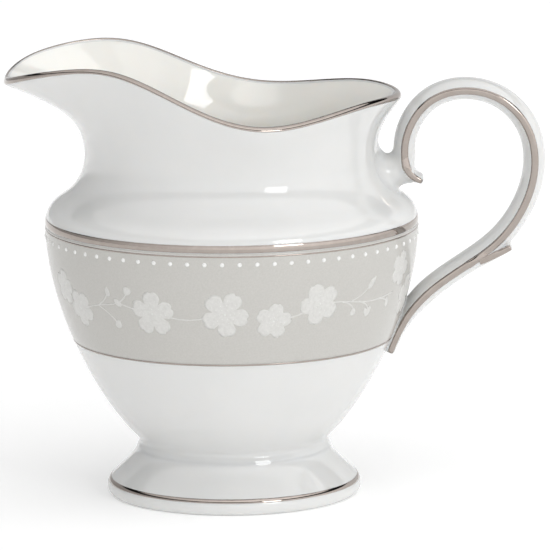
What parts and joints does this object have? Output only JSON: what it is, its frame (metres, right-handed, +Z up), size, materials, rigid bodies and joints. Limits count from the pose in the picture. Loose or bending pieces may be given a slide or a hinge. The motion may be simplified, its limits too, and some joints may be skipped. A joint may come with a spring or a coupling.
{
  "type": "cream jug",
  "caption": "Footed bone-china cream jug with a broad pouring spout, a scrolled loop handle, platinum lines and a pale band of blossoms.",
  "frame": {"origin": "centre of the foot's standing ring, on the table", "axes": "+Z up the axis of the bowl, +X towards the handle, -X towards the spout, Y across"},
  "size_m": [0.1317, 0.0918, 0.1087],
  "materials": {
    "porcelain": "clear gloss glaze over white bone china",
    "platinum": "bright burnished platinum lustre, fired on the glaze",
    "print": "warm grey print fired into the glaze, gloss",
    "blossom": "pale raised enamel, soft gloss",
    "enamel": "white raised enamel, gloss"
  },
  "bodies": {
    "root": {"body": "porcelain", "foot": "porcelain", "handle": "porcelain", "rim_platinum": "platinum", "shoulder_platinum": "platinum", "upper_hairline": "platinum", "lower_hairline": "platinum", "foot_platinum": "platinum", "handle_line_front": "platinum", "handle_line_back": "platinum", "printed_band": "print", "enamel_dots": "enamel", "enamel_blossoms": "blossom", "enamel_sprigs": "blossom"}
  },
  "joints": []
}
